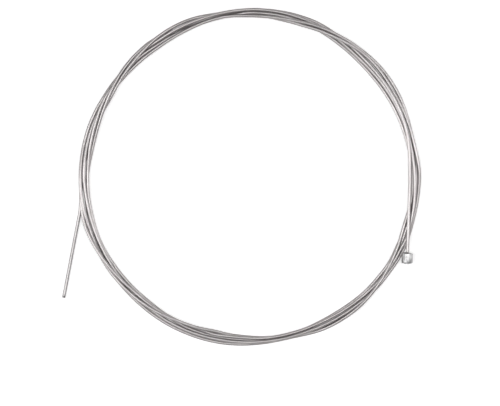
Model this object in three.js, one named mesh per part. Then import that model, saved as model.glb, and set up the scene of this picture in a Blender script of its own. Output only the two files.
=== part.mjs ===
import * as THREE from "three";

// A bicycle shift cable: one long steel strand wound into a flat coil, with a small cast nipple on one end
// and the other end left free. Millimetres, +Z up. It lies on the floor, and the coil's axis is upright.

// The strand, the gap kept between pieces that touch, and how finely a tube is cut
const wireDiameter = 1.2;
const gap = 0.3;
const tubeSides = 8;
const tubeStep = 3;

// The coil: its turns lie in two rows, and the upper row sits in the grooves of the lower one
const coilRadius = 59;
const turnsBelow = 4;
const turnsAbove = 2;
const coilSegments = 72;
const arcSteps = 3;

// The nipple: a barrel with a shallow cone towards the strand, and a blunt cone with a soft edge at the back
const nippleDiameter = 4;
const barrelLength = 3.5;
const frontConeLength = 0.4;
const backConeLength = 0.4;
const landDiameter = 1.8;
const landClearance = 0.05;
const backFlatDiameter = 1;
const edgeRadius = 0.3;
const nippleSegments = 48;

// Where the nipple's front end lies: its angle round the coil, counted from +X, and how far it is outside the
// middle of the outer turn. Its axis is turned from +Y towards +X
const nippleAngle = THREE.MathUtils.degToRad(-25.45);
const nippleAside = 1.33;
const leadHeading = THREE.MathUtils.degToRad(2.1);
const leadLength = 24.5;

// Where the free tail leaves the coil, counted from +X, and how it is turned from -Y towards -X
const tailAngle = THREE.MathUtils.degToRad(191.1);
const tailHeading = THREE.MathUtils.degToRad(10.7);
const tailLength = 31.5;

// What follows from those sizes
const wireRadius = wireDiameter / 2;
const nippleRadius = nippleDiameter / 2;
const rowRise = wireDiameter * Math.sin(Math.PI / 3);
const upperRowHeight = wireRadius + rowRise;
const coilTop = upperRowHeight + wireRadius;
const outerTurnRadius = coilRadius + ((turnsBelow - 1) / 2) * wireDiameter;
const upperOuterTurnRadius = coilRadius + ((turnsAbove - 1) / 2) * wireDiameter;
const coilOuterRadius = Math.max(outerTurnRadius, upperOuterTurnRadius) + wireRadius;
const nippleFrontRadius = outerTurnRadius + nippleAside;
const nippleFront = new THREE.Vector2(
  nippleFrontRadius * Math.cos(nippleAngle),
  nippleFrontRadius * Math.sin(nippleAngle),
);

const strandSteel = new THREE.MeshStandardMaterial({
  name: "strand_steel",
  color: 0xc4bfbe,
  roughness: 0.35,
  metalness: 1,
});

const castZinc = new THREE.MeshStandardMaterial({
  name: "cast_zinc",
  color: 0xcfcfcf,
  roughness: 0.3,
  metalness: 1,
});

function degrees(value) {
  return THREE.MathUtils.degToRad(value);
}

function arc(centre, radius, from, to, steps = arcSteps) {
  const points = [];
  for (let i = 0; i <= steps; i++) {
    const angle = degrees(from + ((to - from) * i) / steps);
    const x = centre.x + radius * Math.cos(angle);
    const y = centre.y + radius * Math.sin(angle);
    points.push(new THREE.Vector2(x, y));
  }
  return points;
}

// The outline of the packed turns: flat underneath, with each outer turn's roundness and a low groove
// between the turns on top
function coilOutline() {
  const points = [];
  const innerTurnRadius = coilRadius - ((turnsBelow - 1) / 2) * wireDiameter;
  const outerTurn = new THREE.Vector2(outerTurnRadius, wireRadius);
  const innerTurn = new THREE.Vector2(innerTurnRadius, wireRadius);
  points.push(...arc(outerTurn, wireRadius, -90, 45));
  for (let i = 0; i < turnsAbove; i++) {
    const turn = new THREE.Vector2(upperOuterTurnRadius - i * wireDiameter, upperRowHeight);
    const from = i === 0 ? 0 : 60;
    const to = i === turnsAbove - 1 ? 180 : 120;
    points.push(...arc(turn, wireRadius, from, to));
  }
  points.push(...arc(innerTurn, wireRadius, 135, 270));
  points.push(points[0].clone());
  return points;
}

function makeCoil() {
  const geometry = new THREE.LatheGeometry(coilOutline(), coilSegments);
  geometry.rotateX(Math.PI / 2);
  const mesh = new THREE.Mesh(geometry, strandSteel);
  mesh.name = "cable_coil";
  return mesh;
}

function wireSection() {
  const corners = [];
  for (let i = 0; i < tubeSides; i++) {
    const angle = ((i + 0.5) * 2 * Math.PI) / tubeSides;
    corners.push(new THREE.Vector2(wireRadius * Math.cos(angle), wireRadius * Math.sin(angle)));
  }
  return new THREE.Shape(corners);
}

function makeStraightWire(name, start, end) {
  const path = new THREE.LineCurve3(start, end);
  const steps = Math.ceil(start.distanceTo(end) / tubeStep);
  const geometry = new THREE.ExtrudeGeometry(wireSection(), { steps, extrudePath: path });
  const mesh = new THREE.Mesh(geometry, strandSteel);
  mesh.name = name;
  return mesh;
}

// How high the nipple's axis lies when it leans on a turn of the coil, worked out where its front end is
function heightOnTurn(turnRadius, turnHeight) {
  const turnX = Math.sqrt(turnRadius ** 2 - nippleFront.y ** 2);
  const aside = nippleFront.x - turnX;
  const apart = nippleRadius + wireRadius + gap;
  return turnHeight + Math.sqrt(Math.max(0, apart ** 2 - aside ** 2));
}

function nippleHeight() {
  const onLowerRow = heightOnTurn(outerTurnRadius, wireRadius);
  const onUpperRow = heightOnTurn(upperOuterTurnRadius, upperRowHeight);
  const leadOverCoil = coilTop + gap + wireRadius;
  return Math.max(onLowerRow, onUpperRow, leadOverCoil);
}

// The lead runs straight on from the nipple, over the coil's turns
const axisHeight = nippleHeight();
const leadDirection = new THREE.Vector3(Math.sin(leadHeading), Math.cos(leadHeading), 0);
const frontPoint = new THREE.Vector3(nippleFront.x, nippleFront.y, axisHeight);

function makeLead() {
  const start = frontPoint.clone().addScaledVector(leadDirection, gap);
  const end = start.clone().addScaledVector(leadDirection, leadLength);
  return makeStraightWire("cable_lead", start, end);
}

// The tail lies on the floor beside the outer turn, and runs off from the coil
function makeTail() {
  const startRadius = coilOuterRadius + gap + wireRadius;
  const start = new THREE.Vector3(
    startRadius * Math.cos(tailAngle),
    startRadius * Math.sin(tailAngle),
    wireRadius,
  );
  const direction = new THREE.Vector3(-Math.sin(tailHeading), -Math.cos(tailHeading), 0);
  const end = start.clone().addScaledVector(direction, tailLength);
  return makeStraightWire("cable_tail", start, end);
}

// The nipple's profile runs from its back, at 0, to its front. The land is the flat ring round the strand
function nippleOutline() {
  const backFlatRadius = backFlatDiameter / 2;
  const landRadius = landDiameter / 2;
  const barrelEnd = backConeLength + barrelLength;
  const edgeCentre = new THREE.Vector2(nippleRadius - edgeRadius, backConeLength + edgeRadius);
  return [
    new THREE.Vector2(0, 0),
    new THREE.Vector2(backFlatRadius, 0),
    ...arc(edgeCentre, edgeRadius, -75, 0),
    new THREE.Vector2(nippleRadius, barrelEnd),
    new THREE.Vector2(landRadius, barrelEnd + frontConeLength),
    new THREE.Vector2(wireRadius + landClearance, barrelEnd + frontConeLength),
    new THREE.Vector2(0, barrelEnd + frontConeLength),
  ];
}

function makeNipple() {
  const length = backConeLength + barrelLength + frontConeLength;
  const geometry = new THREE.LatheGeometry(nippleOutline(), nippleSegments);
  const mesh = new THREE.Mesh(geometry, castZinc);
  mesh.name = "nipple";
  mesh.rotation.z = -leadHeading;
  mesh.position.copy(frontPoint).addScaledVector(leadDirection, -length);
  return mesh;
}

// The group is moved so that the middle of its box, on the floor, is the origin
const group = new THREE.Group();
group.add(makeCoil(), makeLead(), makeTail(), makeNipple());
const box = new THREE.Box3().setFromObject(group, true);
const middle = box.getCenter(new THREE.Vector3());
group.position.set(-middle.x, -middle.y, 0);

export default group;
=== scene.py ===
import math

import bmesh
import bpy
import numpy as np
from mathutils import Matrix, Vector


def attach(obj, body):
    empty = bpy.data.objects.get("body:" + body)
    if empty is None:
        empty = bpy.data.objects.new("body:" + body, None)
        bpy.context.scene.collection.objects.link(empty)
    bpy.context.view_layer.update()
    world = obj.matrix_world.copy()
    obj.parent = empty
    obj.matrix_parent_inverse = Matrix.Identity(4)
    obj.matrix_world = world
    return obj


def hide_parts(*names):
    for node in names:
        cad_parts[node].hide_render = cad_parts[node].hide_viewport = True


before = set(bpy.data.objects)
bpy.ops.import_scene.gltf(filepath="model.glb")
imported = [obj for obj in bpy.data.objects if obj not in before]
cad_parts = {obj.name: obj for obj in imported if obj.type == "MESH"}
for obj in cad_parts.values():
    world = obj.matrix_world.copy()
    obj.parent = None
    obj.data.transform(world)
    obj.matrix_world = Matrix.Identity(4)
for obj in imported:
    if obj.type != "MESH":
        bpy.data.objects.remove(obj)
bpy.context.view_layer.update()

MM = 0.001

# The strand, in metres: one wire in the middle, six round it and twelve outside.
STRAND = 1.2 * MM
WIRE = 0.24 * MM
LAY_LENGTH = 11.0 * MM
INNER_WIRES = 6
OUTER_WIRES = 12

# How finely the strand is drawn: from one ring of its mesh to the next, and across a wire.
RING_STEP = 0.82 * MM
POINTS_PER_WIRE = 3

# The coil: the mean radius of its turns, the middle of the hole, and a turn that lies on the floor.
MEAN = 59 * MM
CENTRE = Vector((3.064 * MM, 0.0, 0.0))
FLOOR_Z = 0.6 * MM

# The lead: it starts inside the nipple and runs straight to the coil. Angles are in degrees.
NIPPLE_FACE = Vector((59.166 * MM, -26.698 * MM, 3.139 * MM))
NIPPLE_AXIS = Vector((0.036644, 0.999328, 0.0)).normalized()
INSIDE_NIPPLE = 1.2 * MM
LEAD_STARTS = -22.0
LEAD_ENDS = -2.2

# The free end: it leaves the coil here and lies straight on the floor.
TAIL_ANGLE = 191.1
TAIL_RADIUS = 62.6 * MM
TAIL_WAY = Vector((-0.18567, -0.98261, 0.0)).normalized()
TAIL_LENGTH = 31.5 * MM
TAIL_BEND = 2.2 * MM

# The nipple: a small cast barrel, made along +Z with its front face at the origin.
BARREL_R = 2.0 * MM
BARREL = 3.5 * MM
CONE = 0.4 * MM
LAND_R = 0.9 * MM
LAND_WIDTH = 0.24 * MM
HOLE_DEPTH = 0.1 * MM
BACK_R = 0.5 * MM
GATE_DENT = 0.06 * MM
FRONT_EDGE = 0.26 * MM
BACK_EDGE = 0.24 * MM
LAND_EDGE = 0.06 * MM

# The marks of its mould: where the parting line runs, how far that stands out and how wide it
# is, the notch at its back end, and how far back the witness mark goes round the barrel.
PARTING = math.radians(84)
SEAM_OUT = 0.045 * MM
SEAM_WIDTH = 0.15 * MM
NOTCH_R = 0.16 * MM
WITNESS_BACK = 0.36 * BARREL

# The cut end: how far out the two rings of wires are, and what shows of each wire.
INNER_RING = 0.238 * MM
OUTER_RING = 0.47 * MM
WIRE_END_R = 0.118 * MM
WIRE_END_LENGTH = 0.14 * MM
WIRE_END_EDGE = 0.018 * MM

# The free end is darker and greyer from here on, measured from the cut. The change is spread over a
# bit.
DARKER_END = 30 * MM
DARKER_END_SPREAD = 3 * MM

# The camera: straight above the coil, with a long lens.
CAMERA_PLACE = (2.72 * MM, -9.05 * MM, 1.2)
SENSOR = 36
LENS = 240.35


def place_camera():
    """Looks straight down on the coil through a long lens, as the photograph does."""
    bpy.ops.object.select_all(action="DESELECT")
    bpy.ops.object.camera_add(location=CAMERA_PLACE, rotation=(0, 0, 0))
    camera = bpy.context.object
    camera.name = "camera_above"
    camera.data.type = "PERSP"
    camera.data.sensor_fit = "HORIZONTAL"
    camera.data.sensor_width = SENSOR
    camera.data.lens = LENS
    camera.data.clip_start = 0.05
    camera.data.clip_end = 20
    bpy.context.scene.camera = camera


place_camera()


# The strand's way through the coil

# Every turn as (angle, place): the angle in degrees round the middle of the hole, and the place
# in strand diameters outwards from the middle of the turns. The first turn starts at the nipple.
TURNS = [
    [(-2, -1.6), (0, -1.7), (5, -1.5), (9, -1.2), (12, -0.9), (15, -0.7), (21, -0.4), (27, -0.3),
     (33, -0.2), (45, -0.2), (51, 0.1), (57, 0.5), (60, 0.7), (66, 1.3), (72, 1.35), (78, 1.35),
     (84, 1.25), (90, 1), (96, 0.6), (102, 0.15), (108, 0), (114, 0.15), (120, 0.75), (126, 1.3),
     (132, 1.35), (138, 1.05), (144, 0.5), (150, -0.1), (156, -0.65), (162, -0.95), (168, -1),
     (174, -0.65), (180, -0.15), (186, 0.35), (192, 0.75), (198, 1), (204, 1.1), (210, 1.2),
     (222, 1.2), (228, 1.15), (240, 1.2), (252, 1.15), (258, 1.05), (264, 0.85), (270, 0.55),
     (276, 0.2), (282, -0.05), (285, -0.1), (288, 0.2), (294, 0.8), (300, 1.15), (306, 1.2),
     (312, 1), (318, 0.65), (324, 0.1), (330, -0.4), (335, -0.7)],
    [(-20, -1.1), (-15, -1.2), (-12, -1), (-8, -0.65), (-4, -0.55), (0, -0.65), (5, -0.85),
     (10, -1), (15, -1.15), (21, -1.3), (27, -1.55), (33, -1.7), (39, -1.8), (45, -1.75),
     (51, -1.55), (57, -1.15), (60, -0.95), (66, -0.5), (72, -0.15), (78, 0.15), (84, 0.2),
     (90, 0.1), (96, -0.05), (102, -0.25), (108, -0.45), (114, -0.55), (120, -0.6), (126, -0.4),
     (132, -0.1), (138, 0.15), (144, 0.35), (150, 0.45), (156, 0.3), (162, 0.05), (168, -0.1),
     (174, -0.25), (180, -0.3), (186, -0.2), (192, -0.3), (204, -0.2), (210, -0.45), (216, -0.7),
     (222, -0.9), (228, -1.1), (234, -1.1), (240, -0.8), (246, -0.45), (252, -0.4), (258, -0.55),
     (264, -0.65), (270, -0.6), (276, -0.4), (282, -0.4), (288, -0.3), (294, 0.05), (300, 0.4),
     (306, 0.5), (312, 0.35), (318, 0.1), (324, -0.1), (335, -0.25)],
    [(-12, 0), (0, 0.2), (6, 0.4), (12, 0.55), (18, 0.8), (24, 1.25), (30, 1.65), (36, 1.8),
     (42, 1.75), (48, 1.4), (54, 0.85), (60, 0.5), (66, 0.25), (72, -0.3), (78, -0.65), (84, -0.8),
     (90, -0.7), (96, -0.5), (99, -0.35), (105, -0.5), (108, -0.7), (114, -1.05), (120, -1.25),
     (126, -1.25), (132, -1.1), (138, -0.85), (144, -0.4), (150, 0.05), (156, 0.5), (162, 0.75),
     (168, 0.85), (174, 0.85), (180, 0.8), (186, 0.55), (192, 0.35), (198, 0.2), (210, 0.1),
     (222, 0.2), (234, 0.4), (240, 0.5), (246, 0.4), (258, 0.15), (270, 0), (282, -0.2),
     (294, -0.15), (300, 0.05), (306, 0.25), (312, 0.5), (318, 0.65), (324, 0.85), (330, 1.15),
     (335, 1.35)],
    [(-22, 1.3), (-18, 1.05), (-12, 1), (-6, 1.15), (0, 1.15), (6, 0.95), (9, 0.8), (12, 0.65),
     (18, 0.65), (27, 0.55), (33, 0.65), (39, 0.95), (45, 1), (48, 0.85), (54, 0.4), (60, -0.15),
     (66, -0.6), (72, -1), (75, -1.05), (78, -1.05), (84, -0.7), (90, -0.1), (96, 0.4),
     (102, 0.85), (108, 1.4), (111, 1.6), (117, 1.6), (123, 1.35), (129, 0.8), (135, 0.25),
     (141, -0.2), (147, -0.65), (150, -0.75), (153, -0.75), (159, -0.4), (165, 0.1), (171, 0.65),
     (177, 1.15), (183, 1.7), (189, 2.2), (192, 2.35), (195, 2.35), (198, 2.25), (204, 1.8),
     (210, 1.2), (216, 0.55), (219, 0.15), (222, -0.2), (225, -0.4), (231, -0.65), (237, -0.9),
     (243, -1.05), (249, -1.2), (255, -1.3), (267, -1.3), (270, -1.25), (276, -0.95), (282, -0.95),
     (288, -1.1), (294, -1.2), (300, -1), (306, -0.8), (312, -0.5), (318, -0.15), (324, 0.15),
     (330, 0.35), (335, 0.4)],
    [(-18, 0.45), (-12, 0.3), (-6, 0.05), (0, -0.2), (6, -0.45), (12, -0.55), (18, -0.55),
     (24, -0.6), (30, -0.65), (42, -0.85), (51, -0.8), (54, -0.6), (57, -0.25), (60, 0.1),
     (63, 0.4), (69, 0.75), (78, 1), (84, 1.1), (90, 1.05), (96, 0.9), (102, 0.7), (108, 0.55),
     (114, 0.5), (126, 0.4), (138, 0.45), (144, 0.6), (150, 0.9), (156, 1.25), (162, 1.6),
     (168, 1.8), (174, 1.85), (186, 1.8), (192, 1.7), (198, 1.55), (213, 1.4), (219, 1.15),
     (225, 0.7), (231, 0.2), (237, -0.5), (243, -1.1), (249, -1.5), (255, -1.7), (261, -1.75),
     (267, -1.6), (270, -1.4), (276, -1), (282, -0.85), (288, -1), (294, -1.3), (300, -1.4),
     (306, -1.3), (312, -1.05), (318, -0.8), (324, -0.6), (335, -0.5)],
    [(-10, -0.4), (5, -0.35), (20, -0.65), (38, -0.4), (50, -0.35), (62, -0.1), (75, -0.2),
     (90, -0.25), (105, 0.1), (120, -0.1), (135, -0.3), (144, 0), (150, 0.3), (156, 0.65),
     (162, 0.95), (168, 1.2), (174, 1.4), (180, 1.65), (184, 1.85), (187, 2.1), (189.4, 2.5),
     (191.1, 3)],
]

# Stretches that lie on the others or under them, as is seen or so that no turn passes through
# another: turn, first and last angle, and how many strand diameters above the floor they start
# before the coil settles.
ON_TOP = [
    (0, -2, 22, 1.9),
    (0, 57, 93, 0.0),
    (0, 132, 165, 1.7),
    (0, 258, 297, 0.0),
    (0, 306, 335, 1.6),
    (1, 78, 117, 0.6),
    (1, 150, 190, 1.4),
    (1, 291, 333, 0.0),
    (2, -12, 20, 0.0),
    (2, 78, 117, 1.8),
    (2, 243, 307, 1.5),
    (3, 99, 117, 0.0),
    (3, 123, 144, 2.0),
    (3, 168, 192, 0.0),
    (3, 200, 232, 1.8),
    (3, 288, 333, 1.2),
    (4, 60, 99, 1.6),
    (4, 285, 318, 0.0),
]

# The coil is worked out at stations a few degrees apart, all along the strand.
STATION = 3.0
FIRST = -25.0
ROUND = int(360 / STATION)

# Where a stretch that isn't named above starts, in diameters above the floor: this high where it
# keeps its radius, higher where it comes inwards and lower where it goes outwards, up to the top.
MID_LEVEL = 0.8
LEVEL_PER_LEAN = 9
TOP_LEVEL = 1.7

# How the coil settles: in each round a turn falls, is pulled back to its own place, straightens a
# little, and then turns that are too near push each other apart a few times.
ROUNDS = 700
FALL = 0.01 * MM
PULL = 0.27
STRAIGHTEN_UP = 0.2
STRAIGHTEN_OUT = 0.05
PUSHES = 4
PUSH_OUT = 0.7


def curve_between(start, end, lean_start, lean_end, t):
    """Where a smooth curve is at t, from 0 at its start to 1 at its end."""
    leaving = (2 * t**3 - 3 * t**2 + 1) * start + (t**3 - 2 * t**2 + t) * lean_start
    arriving = (3 * t**2 - 2 * t**3) * end + (t**3 - t**2) * lean_end
    return leaving + arriving


def even_out(row):
    """Evens a row of values out a little, in place. Its first and last values stay."""
    for _ in range(3):
        row[1:-1] = 0.25 * row[:-2] + 0.5 * row[1:-1] + 0.25 * row[2:]


def read_places():
    """A smooth curve through the places, read off at every station."""
    at = []
    out = []
    for turn, places in enumerate(TURNS):
        for angle, place in places:
            at.append(angle + 360.0 * turn)
            out.append(float(place))
    at = np.array(at)
    out = np.array(out)
    last = 360.0 * (len(TURNS) - 1) + TAIL_ANGLE
    stations = FIRST + STATION * np.arange(int((last - FIRST) / STATION) + 1)
    gap = np.diff(at)
    rise = np.diff(out) / gap
    lean = np.empty(len(at))
    lean[0] = rise[0]
    lean[-1] = rise[-1]
    lean[1:-1] = (rise[:-1] * gap[1:] + rise[1:] * gap[:-1]) / (gap[1:] + gap[:-1])
    k = np.clip(np.searchsorted(at, stations, side="right") - 1, 0, len(at) - 2)
    h = at[k + 1] - at[k]
    t = (stations - at[k]) / h
    return stations, curve_between(out[k], out[k + 1], h * lean[k], h * lean[k + 1], t)


def lead_radius(angle):
    """How far out the straight lead is at an angle round the coil."""
    a = math.radians(angle)
    x = NIPPLE_FACE.x - CENTRE.x
    y = NIPPLE_FACE.y
    along = (x * math.sin(a) - y * math.cos(a)) / (
        NIPPLE_AXIS.y * math.cos(a) - NIPPLE_AXIS.x * math.sin(a)
    )
    return math.hypot(x + along * NIPPLE_AXIS.x, y + along * NIPPLE_AXIS.y)


def first_levels(stations, places):
    """How high each station starts, in diameters above the floor, before the coil settles."""
    level = np.clip(MID_LEVEL - LEVEL_PER_LEAN * np.gradient(places, STATION), 0, TOP_LEVEL)
    for turn, low, high, above in ON_TOP:
        level[(stations >= low + 360 * turn) & (stations <= high + 360 * turn)] = above
    even_out(level)
    return level


def push_apart(r, z, lead):
    """Moves turns that are too near away from each other. The lead is held by the nipple."""
    for turns in range(1, len(TURNS)):
        i = np.arange(0, len(r) - turns * ROUND)
        j = i + turns * ROUND
        dr = r[j] - r[i]
        dz = z[j] - z[i]
        apart = np.maximum(np.hypot(dr, dz), 1e-7)
        push = np.maximum(STRAND - apart, 0) / apart
        mine = np.where(lead[i], 0.0, 0.5)
        r[i] -= PUSH_OUT * push * dr * mine
        z[i] -= push * dz * mine
        r[j] += PUSH_OUT * push * dr * (1 - mine)
        z[j] += push * dz * (1 - mine)


def settle_turns():
    """Lets the turns sink onto the floor and onto each other, a diameter apart, each in its place."""
    stations, places = read_places()
    want = MEAN + places * STRAND
    lead = stations < LEAD_ENDS
    for i in np.flatnonzero(lead):
        want[i] = lead_radius(stations[i])
    z = FLOOR_Z + first_levels(stations, places) * STRAND
    z[stations > 360 * (len(TURNS) - 1) + FIRST] = FLOOR_Z
    z[lead] = NIPPLE_FACE.z
    r = want.copy()
    free = ~lead
    for _ in range(ROUNDS):
        z[free] -= FALL
        r += (want - r) * PULL
        bent = z[:-2] + z[2:] - 2 * z[1:-1]
        z[1:-1] += np.where(free[1:-1], STRAIGHTEN_UP * bent, 0)
        bent = r[:-2] + r[2:] - 2 * r[1:-1]
        r[1:-1] += np.where(free[1:-1], STRAIGHTEN_OUT * bent, 0)
        for _ in range(PUSHES):
            push_apart(r, z, lead)
            z = np.maximum(z, FLOOR_Z)
        z[lead] = NIPPLE_FACE.z
        r[lead] = want[lead]
    return stations, r, z


def strand_knots():
    """The places that the strand goes through, from inside the nipple to the cut end."""
    stations, r, z = settle_turns()
    knots = [tuple(NIPPLE_FACE - NIPPLE_AXIS * INSIDE_NIPPLE)]
    for angle, radius, height in zip(stations, r, z):
        if angle < LEAD_STARTS:
            continue
        a = math.radians(angle)
        knots.append((CENTRE.x + radius * math.cos(a), radius * math.sin(a), height))
    # the last knots of the coil give way to the straight tail
    a = math.radians(TAIL_ANGLE)
    leaves = Vector((CENTRE.x + TAIL_RADIUS * math.cos(a), TAIL_RADIUS * math.sin(a), FLOOR_Z))
    while (Vector(knots[-1]) - leaves).length < TAIL_BEND:
        knots.pop()
    steps = 10
    for k in range(steps + 1):
        knots.append(tuple(leaves + TAIL_WAY * TAIL_LENGTH * k / steps))
    return np.array(knots)


def strand_path():
    """The strand's middle line as short even steps along a smooth curve, and its length."""
    knots = strand_knots()
    before = np.vstack((2 * knots[0] - knots[1], knots[:-1]))
    after = np.vstack((knots[1:], 2 * knots[-1] - knots[-2]))
    lean = (after - before) / 2
    fine = []
    parts = 12
    for i in range(len(knots) - 1):
        for k in range(parts):
            fine.append(curve_between(knots[i], knots[i + 1], lean[i], lean[i + 1], k / parts))
    fine.append(knots[-1])
    fine = np.array(fine)
    run = np.concatenate(([0], np.cumsum(np.linalg.norm(np.diff(fine, axis=0), axis=1))))
    rings = int(round(run[-1] / RING_STEP)) + 1
    even = np.linspace(0, run[-1], rings)
    path = np.column_stack([np.interp(even, run, fine[:, axis]) for axis in range(3)])
    even_out(path)
    return path, run[-1]


# The strand itself


def wound(ring):
    """How far the wires have wound round the strand at a ring. They wind left-handed."""
    return -2 * math.pi * ring * RING_STEP / LAY_LENGTH


def wire_outline():
    """The strand's section: twelve round wires side by side, as angle and distance from the middle."""
    outline = []
    bundle = STRAND / 2 - WIRE / 2
    for wire in range(OUTER_WIRES):
        for k in range(POINTS_PER_WIRE):
            off = (k + 0.5) / POINTS_PER_WIRE - 0.5
            turn = off * 2 * math.pi / OUTER_WIRES
            deep = max((WIRE / 2) ** 2 - (bundle * math.sin(turn)) ** 2, 0)
            outline.append(
                (2 * math.pi * wire / OUTER_WIRES + turn, bundle * math.cos(turn) + math.sqrt(deep))
            )
    return outline


def ring_corners(path, outline):
    """One ring of corners for each step of the path, each wound a little further than the last."""
    ways = np.gradient(path, axis=0)
    ways /= np.linalg.norm(ways, axis=1)[:, None]
    sides = np.cross(np.array([0.0, 0.0, 1.0]), ways)
    sides /= np.linalg.norm(sides, axis=1)[:, None]
    tops = np.cross(ways, sides)
    corners = []
    for i in range(len(path)):
        for turn, far in outline:
            c = math.cos(turn + wound(i))
            s = math.sin(turn + wound(i))
            corners.append(path[i] + far * (c * sides[i] + s * tops[i]))
    return corners


def lay_strand():
    """The whole strand as one closed mesh whose wires wind round it."""
    path, length = strand_path()
    outline = wire_outline()
    around = len(outline)
    corners = ring_corners(path, outline)
    faces = []
    # for each corner of each face, the wire that it is on and how far along the strand it is
    spots = []
    for i in range(len(path) - 1):
        low = i * around
        v0 = i * RING_STEP
        v1 = (i + 1) * RING_STEP
        for k in range(around):
            n = (k + 1) % around
            faces.append((low + k, low + n, low + around + n, low + around + k))
            u0 = (k + 0.5) / POINTS_PER_WIRE
            u1 = (k + 1.5) / POINTS_PER_WIRE
            spots += [(u0, v0), (u1, v0), (u1, v1), (u0, v1)]
    # a flat fan of faces closes each end; its corners sit at the groove's place across the wires, so
    # the ends take the painted groove shade
    first = len(corners)
    corners.append(path[0])
    last = len(corners)
    corners.append(path[-1])
    end = (len(path) - 1) * around
    for k in range(around):
        n = (k + 1) % around
        faces.append((first, n, k))
        spots += [(0, 0)] * 3
        faces.append((last, end + k, end + n))
        spots += [(0, length)] * 3
    mesh = bpy.data.meshes.new("shift_strand")
    mesh.from_pydata([tuple(c) for c in corners], [], faces)
    wires = mesh.uv_layers.new(name="wires")
    wires.data.foreach_set("uv", np.array(spots, dtype=np.float32).ravel())
    mesh.polygons.foreach_set("use_smooth", [True] * len(mesh.polygons))
    for face in list(mesh.polygons)[-2 * around:]:
        face.use_smooth = False
    mesh.update()
    strand = bpy.data.objects.new("shift_strand", mesh)
    bpy.context.collection.objects.link(strand)
    return strand, path, length


# Small tools for shaping by hand


def pick_none():
    """Deselects everything."""
    bpy.ops.object.select_all(action="DESELECT")


def pick_faces(piece, wanted):
    """Selects the faces that wanted(middle, normal) names, in edit mode."""
    bpy.ops.mesh.select_mode(type="FACE")
    bpy.ops.mesh.select_all(action="DESELECT")
    sheet = bmesh.from_edit_mesh(piece.data)
    for face in sheet.faces:
        face.select_set(bool(wanted(face.calc_center_median(), face.normal)))
    bmesh.update_edit_mesh(piece.data)


def pick_edges(piece, wanted):
    """Selects the edges whose two ends wanted(a, b) names, in edit mode."""
    bpy.ops.mesh.select_mode(type="EDGE")
    bpy.ops.mesh.select_all(action="DESELECT")
    sheet = bmesh.from_edit_mesh(piece.data)
    for edge in sheet.edges:
        edge.select_set(bool(wanted(edge.verts[0].co, edge.verts[1].co)))
    bmesh.update_edit_mesh(piece.data)


def pick_corners(piece, wanted):
    """Selects the corners that wanted(place) names, in edit mode."""
    bpy.ops.mesh.select_mode(type="VERT")
    bpy.ops.mesh.select_all(action="DESELECT")
    sheet = bmesh.from_edit_mesh(piece.data)
    for corner in sheet.verts:
        corner.select_set(bool(wanted(corner.co)))
    bmesh.update_edit_mesh(piece.data)


def lay_along(piece, way, place):
    """Turns a piece made along +Z so that it lies along a level way, with its origin at a place."""
    side = Vector((0, 0, 1)).cross(way).normalized()
    top = way.cross(side)
    turn = Matrix((side, top, way)).transposed().to_4x4()
    piece.data.transform(Matrix.Translation(place) @ turn)
    piece.data.update()


# The nipple


def round_nipple_edges(nipple, front, back):
    """Rounds the barrel's two edges and the edge of the flat ring. In edit mode."""
    pick_edges(nipple, lambda a, b: abs(a.z - back) < 1e-6 and abs(b.z - back) < 1e-6)
    bpy.ops.mesh.bevel(offset=BACK_EDGE, segments=5, affect="EDGES")
    pick_edges(nipple, lambda a, b: abs(a.z - front) < 1e-6 and abs(b.z - front) < 1e-6
               and a.xy.length > 1.9 * MM)
    bpy.ops.mesh.bevel(offset=FRONT_EDGE, segments=5, affect="EDGES")
    pick_edges(nipple, lambda a, b: a.z > -0.05 * MM and b.z > -0.05 * MM
               and min(a.xy.length, b.xy.length) > 0.8 * MM)
    bpy.ops.mesh.bevel(offset=LAND_EDGE, segments=2, affect="EDGES")


def mark_barrel(nipple):
    """The witness mark: a very shallow groove round the barrel, a third of the way back."""
    mark = -CONE - WITNESS_BACK
    for off in (-0.07, -0.03, 0.03, 0.07):
        bpy.ops.mesh.select_all(action="SELECT")
        bpy.ops.mesh.bisect(plane_co=(0, 0, mark + off * MM), plane_no=(0, 0, 1))
    pick_corners(nipple, lambda place: abs(place.z - mark) < 0.04 * MM)
    bpy.ops.transform.resize(value=(0.988, 0.988, 1), center_override=(0, 0, mark))


def notch_back_edge(nipple, back):
    """The notch where the parting line meets the back edge."""
    pick_none()
    bpy.ops.mesh.primitive_cylinder_add(vertices=20, radius=NOTCH_R, depth=0.9 * MM)
    notch = bpy.context.object
    notch.data.transform(Matrix.Rotation(math.radians(90), 4, "X"))
    notch.data.transform(Matrix.Translation((0, BARREL_R, back - 0.02 * MM)))
    notch.data.transform(Matrix.Rotation(PARTING - math.radians(90), 4, "Z"))
    cut = nipple.modifiers.new("notch", "BOOLEAN")
    cut.operation = "DIFFERENCE"
    cut.solver = "EXACT"
    cut.object = notch
    bpy.context.view_layer.objects.active = nipple
    nipple.select_set(True)
    bpy.ops.object.modifier_apply(modifier="notch")
    bpy.data.objects.remove(notch, do_unlink=True)


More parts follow.
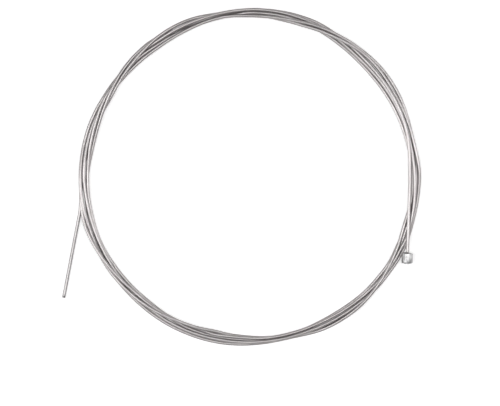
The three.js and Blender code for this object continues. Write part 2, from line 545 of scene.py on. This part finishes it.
def cast_nipple():
    """Barrel with a shallow cone at the front, a pointed back and a faint mark of the mould."""
    pick_none()
    bpy.ops.mesh.primitive_cylinder_add(
        vertices=72, radius=BARREL_R, depth=BARREL, location=(0, 0, -CONE - BARREL / 2)
    )
    nipple = bpy.context.object
    nipple.name = "cable_nipple"
    bpy.ops.object.transform_apply(location=True, rotation=True, scale=True)
    bpy.ops.object.mode_set(mode="EDIT")
    # the front cone, the flat ring round the strand, and the hole that the strand goes into
    pick_faces(nipple, lambda middle, normal: normal.z > 0.9)
    bpy.ops.mesh.inset(thickness=BARREL_R - LAND_R, depth=CONE)
    bpy.ops.mesh.inset(thickness=LAND_WIDTH, depth=0)
    bpy.ops.mesh.inset(thickness=0.05 * MM, depth=-HOLE_DEPTH)
    # the back cone, its small flat and the dent that the mould's gate leaves
    pick_faces(nipple, lambda middle, normal: normal.z < -0.9)
    bpy.ops.mesh.inset(thickness=BARREL_R - BACK_R, depth=CONE)
    bpy.ops.mesh.inset(thickness=0.12 * MM, depth=-GATE_DENT)
    front = -CONE
    back = -CONE - BARREL
    round_nipple_edges(nipple, front, back)
    mark_barrel(nipple)
    bpy.ops.object.mode_set(mode="OBJECT")
    notch_back_edge(nipple, back)
    pick_none()
    nipple.select_set(True)
    bpy.ops.object.shade_smooth_by_angle(angle=math.radians(28))
    lay_along(nipple, NIPPLE_AXIS, NIPPLE_FACE)
    return nipple


def parting_line():
    """The thin raised line that the two halves of the mould leave along the barrel."""
    pick_none()
    bpy.ops.mesh.primitive_cube_add(size=1, location=(0, 0, -CONE - BARREL / 2))
    line = bpy.context.object
    line.name = "nipple_parting_line"
    line.scale = (2 * (BARREL_R + SEAM_OUT), SEAM_WIDTH, BARREL - 0.42 * MM)
    bpy.ops.object.transform_apply(location=True, rotation=True, scale=True)
    bpy.ops.object.mode_set(mode="EDIT")
    bpy.ops.mesh.select_all(action="SELECT")
    bpy.ops.mesh.bevel(offset=0.04 * MM, segments=3, affect="EDGES")
    bpy.ops.object.mode_set(mode="OBJECT")
    bpy.ops.object.shade_smooth_by_angle(angle=math.radians(40))
    line.data.transform(Matrix.Rotation(PARTING, 4, "Z"))
    lay_along(line, NIPPLE_AXIS, NIPPLE_FACE)
    return line


# The cut end


def wire_end(x, y):
    """One short round wire with a slightly softened edge."""
    pick_none()
    bpy.ops.mesh.primitive_cylinder_add(
        vertices=14, radius=WIRE_END_R, depth=WIRE_END_LENGTH, location=(x, y, -0.03 * MM)
    )
    end = bpy.context.object
    bpy.ops.object.transform_apply(location=True, rotation=True, scale=True)
    bpy.ops.object.mode_set(mode="EDIT")
    pick_edges(end, lambda a, b: a.z > 0 and b.z > 0)
    bpy.ops.mesh.bevel(offset=WIRE_END_EDGE, segments=2, affect="EDGES")
    bpy.ops.object.mode_set(mode="OBJECT")
    return end


def cut_wires(path):
    """The nineteen wire ends that show where the strand is cut, at the end of its path."""
    ends = [wire_end(0.0, 0.0)]
    for count, far in ((INNER_WIRES, INNER_RING), (OUTER_WIRES, OUTER_RING)):
        for k in range(count):
            turn = 2 * math.pi * k / count + wound(len(path) - 1)
            ends.append(wire_end(far * math.cos(turn), far * math.sin(turn)))
    pick_none()
    for end in ends:
        end.select_set(True)
    bpy.context.view_layer.objects.active = ends[0]
    bpy.ops.object.join()
    cut = bpy.context.object
    cut.name = "strand_cut_end"
    bpy.ops.object.shade_smooth_by_angle(angle=math.radians(40))
    lay_along(cut, TAIL_WAY, Vector(path[-1]))
    return cut


# Finishes


def node(tree, kind, x, y, inputs=None, **values):
    """A node at a place in the tree, with its settings and the constants on its own sockets."""
    made = tree.nodes.new(kind)
    made.location = (x, y)
    for name, value in values.items():
        setattr(made, name, value)
    for socket, value in (inputs or {}).items():
        made.inputs[socket].default_value = value
    return made


def noise(tree, x, y, vector, scale, detail, roughness=0.5):
    """A noise pattern on the given vector."""
    made = node(tree, "ShaderNodeTexNoise", x, y,
                {"Scale": scale, "Detail": detail, "Roughness": roughness})
    tree.links.new(vector, made.inputs["Vector"])
    return made


def tone_ramp(tree, x, y, factor, dark, light):
    """A ramp from dark to light, each given as (position, colour)."""
    made = node(tree, "ShaderNodeValToRGB", x, y)
    for stop, (position, colour) in zip(made.color_ramp.elements, (dark, light)):
        stop.position = position
        stop.color = colour
    tree.links.new(factor, made.inputs["Fac"])
    return made


def soft_step(tree, x, y, value, low, high):
    """Rises smoothly from 0 where the value is low to 1 where it is high."""
    made = node(tree, "ShaderNodeMapRange", x, y, {"From Min": low, "From Max": high},
                interpolation_type="SMOOTHSTEP")
    tree.links.new(value, made.inputs["Value"])
    return made


def dull_where(tree, x, y, where, colour, by):
    """Multiplies a colour by another one, in the measure that where says."""
    made = node(tree, "ShaderNodeMix", x, y, data_type="RGBA", blend_type="MULTIPLY")
    tree.links.new(where, made.inputs["Factor"])
    tree.links.new(colour, made.inputs[6])
    made.inputs[7].default_value = by
    return made


def bump(tree, x, y, height, strength, distance):
    """Fine unevenness of the surface."""
    made = node(tree, "ShaderNodeBump", x, y, {"Strength": strength, "Distance": distance})
    tree.links.new(height, made.inputs["Height"])
    return made


def new_metal(name, tint):
    """A metal with its own shader, and the tree that its nodes go into."""
    metal = bpy.data.materials.new(name)
    metal.use_nodes = True
    tree = metal.node_tree
    shader = tree.nodes["Principled BSDF"]
    shader.inputs["Metallic"].default_value = 1.0
    shader.inputs["Specular Tint"].default_value = tint
    return metal, tree, shader


def strand_finish(length):
    """Bright drawn steel wire: painted shade in the grooves between the wires, fine draw lines, patchy
    wear.
    """
    steel, tree, shader = new_metal("drawn_wire_steel", (0.33, 0.308, 0.305, 1))
    uv = node(tree, "ShaderNodeUVMap", -1500, 0, uv_map="wires")
    split = node(tree, "ShaderNodeSeparateXYZ", -1300, 0)
    tree.links.new(uv.outputs["UV"], split.inputs["Vector"])
    # how deep between two wires, which sets the painted shade in the grooves: 0 on a wire's crown, 1
    # in the groove
    part = node(tree, "ShaderNodeMath", -1100, 100, operation="FRACT")
    tree.links.new(split.outputs["X"], part.inputs[0])
    off = node(tree, "ShaderNodeMath", -950, 100, {1: 0.5}, operation="SUBTRACT")
    tree.links.new(part.outputs[0], off.inputs[0])
    away = node(tree, "ShaderNodeMath", -800, 100, operation="ABSOLUTE")
    tree.links.new(off.outputs[0], away.inputs[0])
    groove = soft_step(tree, -640, 100, away.outputs[0], 0.28, 0.5)
    # slow changes of tone along the strand, and fine draw lines along each wire
    place = node(tree, "ShaderNodeTexCoord", -1500, -300)
    patches = noise(tree, -1100, -200, place.outputs["Object"], 160.0, 3.0)
    stretch = node(tree, "ShaderNodeMapping", -1300, -450, {"Scale": (9.0, 260.0, 1.0)})
    tree.links.new(uv.outputs["UV"], stretch.inputs["Vector"])
    lines = noise(tree, -1100, -450, stretch.outputs["Vector"], 1.0, 4.0)
    tone = tone_ramp(tree, -880, -200, patches.outputs["Fac"],
                     (0.3, (0.56, 0.534, 0.532, 1)), (0.7, (0.69, 0.660, 0.658, 1)))
    drawn = node(tree, "ShaderNodeMix", -600, -250, {"Factor": 0.18},
                 data_type="RGBA", blend_type="MULTIPLY")
    tree.links.new(tone.outputs["Color"], drawn.inputs[6])
    tree.links.new(lines.outputs["Color"], drawn.inputs[7])
    # the grooves between the wires are painted darker than the crowns: painted shade where
    # neighbouring wires meet
    groove_shade = node(tree, "ShaderNodeMix", -350, 0, data_type="RGBA", blend_type="MIX")
    tree.links.new(groove.outputs["Result"], groove_shade.inputs["Factor"])
    tree.links.new(drawn.outputs[2], groove_shade.inputs[6])
    groove_shade.inputs[7].default_value = (0.30, 0.281, 0.278, 1)
    # the last stretch of the free end is made darker and greyer, from there on to the cut
    darker_end = soft_step(tree, -350, 220, split.outputs["Y"],
                      length - DARKER_END - DARKER_END_SPREAD, length - DARKER_END + DARKER_END_SPREAD)
    dull = dull_where(tree, -150, 100, darker_end.outputs["Result"], groove_shade.outputs[2],
                      (0.84, 0.85, 0.855, 1))
    tree.links.new(dull.outputs[2], shader.inputs["Base Color"])
    rough = node(tree, "ShaderNodeMapRange", -350, -350, {"To Min": 0.3, "To Max": 0.46})
    tree.links.new(lines.outputs["Fac"], rough.inputs["Value"])
    tree.links.new(rough.outputs["Result"], shader.inputs["Roughness"])
    scored = bump(tree, -350, -600, lines.outputs["Fac"], 0.12, 0.00002)
    tree.links.new(scored.outputs["Normal"], shader.inputs["Normal"])
    return steel


def zinc_finish():
    """Satin cast zinc: a soft cloudy tone, a fine skin, and a darker back half."""
    zinc, tree, shader = new_metal("satin_cast_zinc", (0.8, 0.8, 0.8, 1))
    place = node(tree, "ShaderNodeTexCoord", -1300, 0)
    clouds = noise(tree, -1000, 250, place.outputs["Object"], 1100.0, 5.0, 0.6)
    along = node(tree, "ShaderNodeMapping", -1150, 0, {"Scale": (3600.0, 420.0, 3600.0)})
    tree.links.new(place.outputs["Object"], along.inputs["Vector"])
    drag = noise(tree, -1000, 0, along.outputs["Vector"], 1.0, 3.0)
    skin = noise(tree, -1000, -250, place.outputs["Object"], 6500.0, 2.0)
    worn = node(tree, "ShaderNodeMix", -780, 150, {"Factor": 0.55}, data_type="FLOAT")
    tree.links.new(clouds.outputs["Fac"], worn.inputs[2])
    tree.links.new(drag.outputs["Fac"], worn.inputs[3])
    tone = tone_ramp(tree, -600, 150, worn.outputs[0],
                     (0.36, (0.38, 0.379, 0.38, 1)), (0.62, (0.66, 0.658, 0.66, 1)))
    # the back half is made darker than the front
    split = node(tree, "ShaderNodeSeparateXYZ", -1000, 450)
    tree.links.new(place.outputs["Object"], split.inputs["Vector"])
    back_half = soft_step(tree, -780, 450, split.outputs["Y"],
                     NIPPLE_FACE.y - 1.1 * MM, NIPPLE_FACE.y - 3.3 * MM)
    dull = dull_where(tree, -330, 250, back_half.outputs["Result"], tone.outputs["Color"],
                      (0.72, 0.72, 0.725, 1))
    tree.links.new(dull.outputs[2], shader.inputs["Base Color"])
    rough = node(tree, "ShaderNodeMapRange", -600, -150,
                 {"From Min": 0.3, "From Max": 0.7, "To Min": 0.4, "To Max": 0.24})
    tree.links.new(drag.outputs["Fac"], rough.inputs["Value"])
    tree.links.new(rough.outputs["Result"], shader.inputs["Roughness"])
    uneven = bump(tree, -500, -350, drag.outputs["Fac"], 0.35, 0.00004)
    fine = bump(tree, -280, -350, skin.outputs["Fac"], 0.2, 0.00002)
    tree.links.new(uneven.outputs["Normal"], fine.inputs["Normal"])
    tree.links.new(fine.outputs["Normal"], shader.inputs["Normal"])
    return zinc


# The room


def lay_floor():
    """A plain pale floor that shows white to the camera and keeps the soft shadow."""
    pick_none()
    bpy.ops.mesh.primitive_plane_add(size=6, location=(0, 0, -0.00002))
    floor = bpy.context.object
    floor.name = "pale_floor"
    paper = bpy.data.materials.new("pale_paper")
    paper.use_nodes = True
    tree = paper.node_tree
    shader = tree.nodes["Principled BSDF"]
    shader.inputs["Base Color"].default_value = (0.8, 0.8, 0.8, 1)
    shader.inputs["Roughness"].default_value = 0.9
    shader.inputs["Specular IOR Level"].default_value = 0.0
    seen = node(tree, "ShaderNodeLightPath", -900, 300)
    either = node(tree, "ShaderNodeMath", -700, 300, operation="MAXIMUM")
    tree.links.new(seen.outputs["Is Camera Ray"], either.inputs[0])
    tree.links.new(seen.outputs["Is Glossy Ray"], either.inputs[1])
    all_three = node(tree, "ShaderNodeMath", -500, 300, operation="MAXIMUM")
    tree.links.new(either.outputs[0], all_three.inputs[0])
    tree.links.new(seen.outputs["Is Transmission Ray"], all_three.inputs[1])
    glow = node(tree, "ShaderNodeMath", -300, 300, {1: 0.45}, operation="MULTIPLY")
    tree.links.new(all_three.outputs[0], glow.inputs[0])
    shader.inputs["Emission Color"].default_value = (1, 1, 1, 1)
    tree.links.new(glow.outputs[0], shader.inputs["Emission Strength"])
    floor.data.materials.append(paper)


def add_lamp(name, place, size, power):
    """A soft box that shines on the middle of the coil."""
    bpy.ops.object.light_add(type="AREA", location=place)
    lamp = bpy.context.object
    lamp.name = name
    lamp.data.shape = "RECTANGLE"
    lamp.data.size = size[0]
    lamp.data.size_y = size[1]
    lamp.data.energy = power
    lamp.rotation_euler = (-Vector(place)).to_track_quat("-Z", "Y").to_euler()


def light_room():
    """Soft light from the left, a little less from the right, and a pale room all round."""
    room = bpy.data.worlds.new("pale_room")
    room.use_nodes = True
    sky = room.node_tree.nodes["Background"]
    sky.inputs["Color"].default_value = (1, 1, 1, 1)
    sky.inputs["Strength"].default_value = 0.22
    bpy.context.scene.world = room
    add_lamp("soft_box_left", (-1.05, -0.2, 1.1), (1.0, 2.8), 16.5)
    add_lamp("soft_box_right", (1.1, 0.2, 1.1), (0.8, 2.6), 9.5)
    add_lamp("soft_box_above", (0.0, 0.0, 1.5), (2.0, 0.36), 5.4)


# The pieces together

strand, path, length = lay_strand()
nipple = cast_nipple()
line = parting_line()
cut = cut_wires(path)

steel = strand_finish(length)
zinc = zinc_finish()
for piece, metal in ((strand, steel), (cut, steel), (nipple, zinc), (line, zinc)):
    piece.data.materials.clear()
    piece.data.materials.append(metal)

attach(strand, "root")
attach(cut, "root")
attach(nipple, "root")
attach(line, "root")
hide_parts("cable_coil", "cable_lead", "cable_tail")
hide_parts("nipple")

lay_floor()
light_room()

bpy.context.scene.view_settings.view_transform = "Standard"
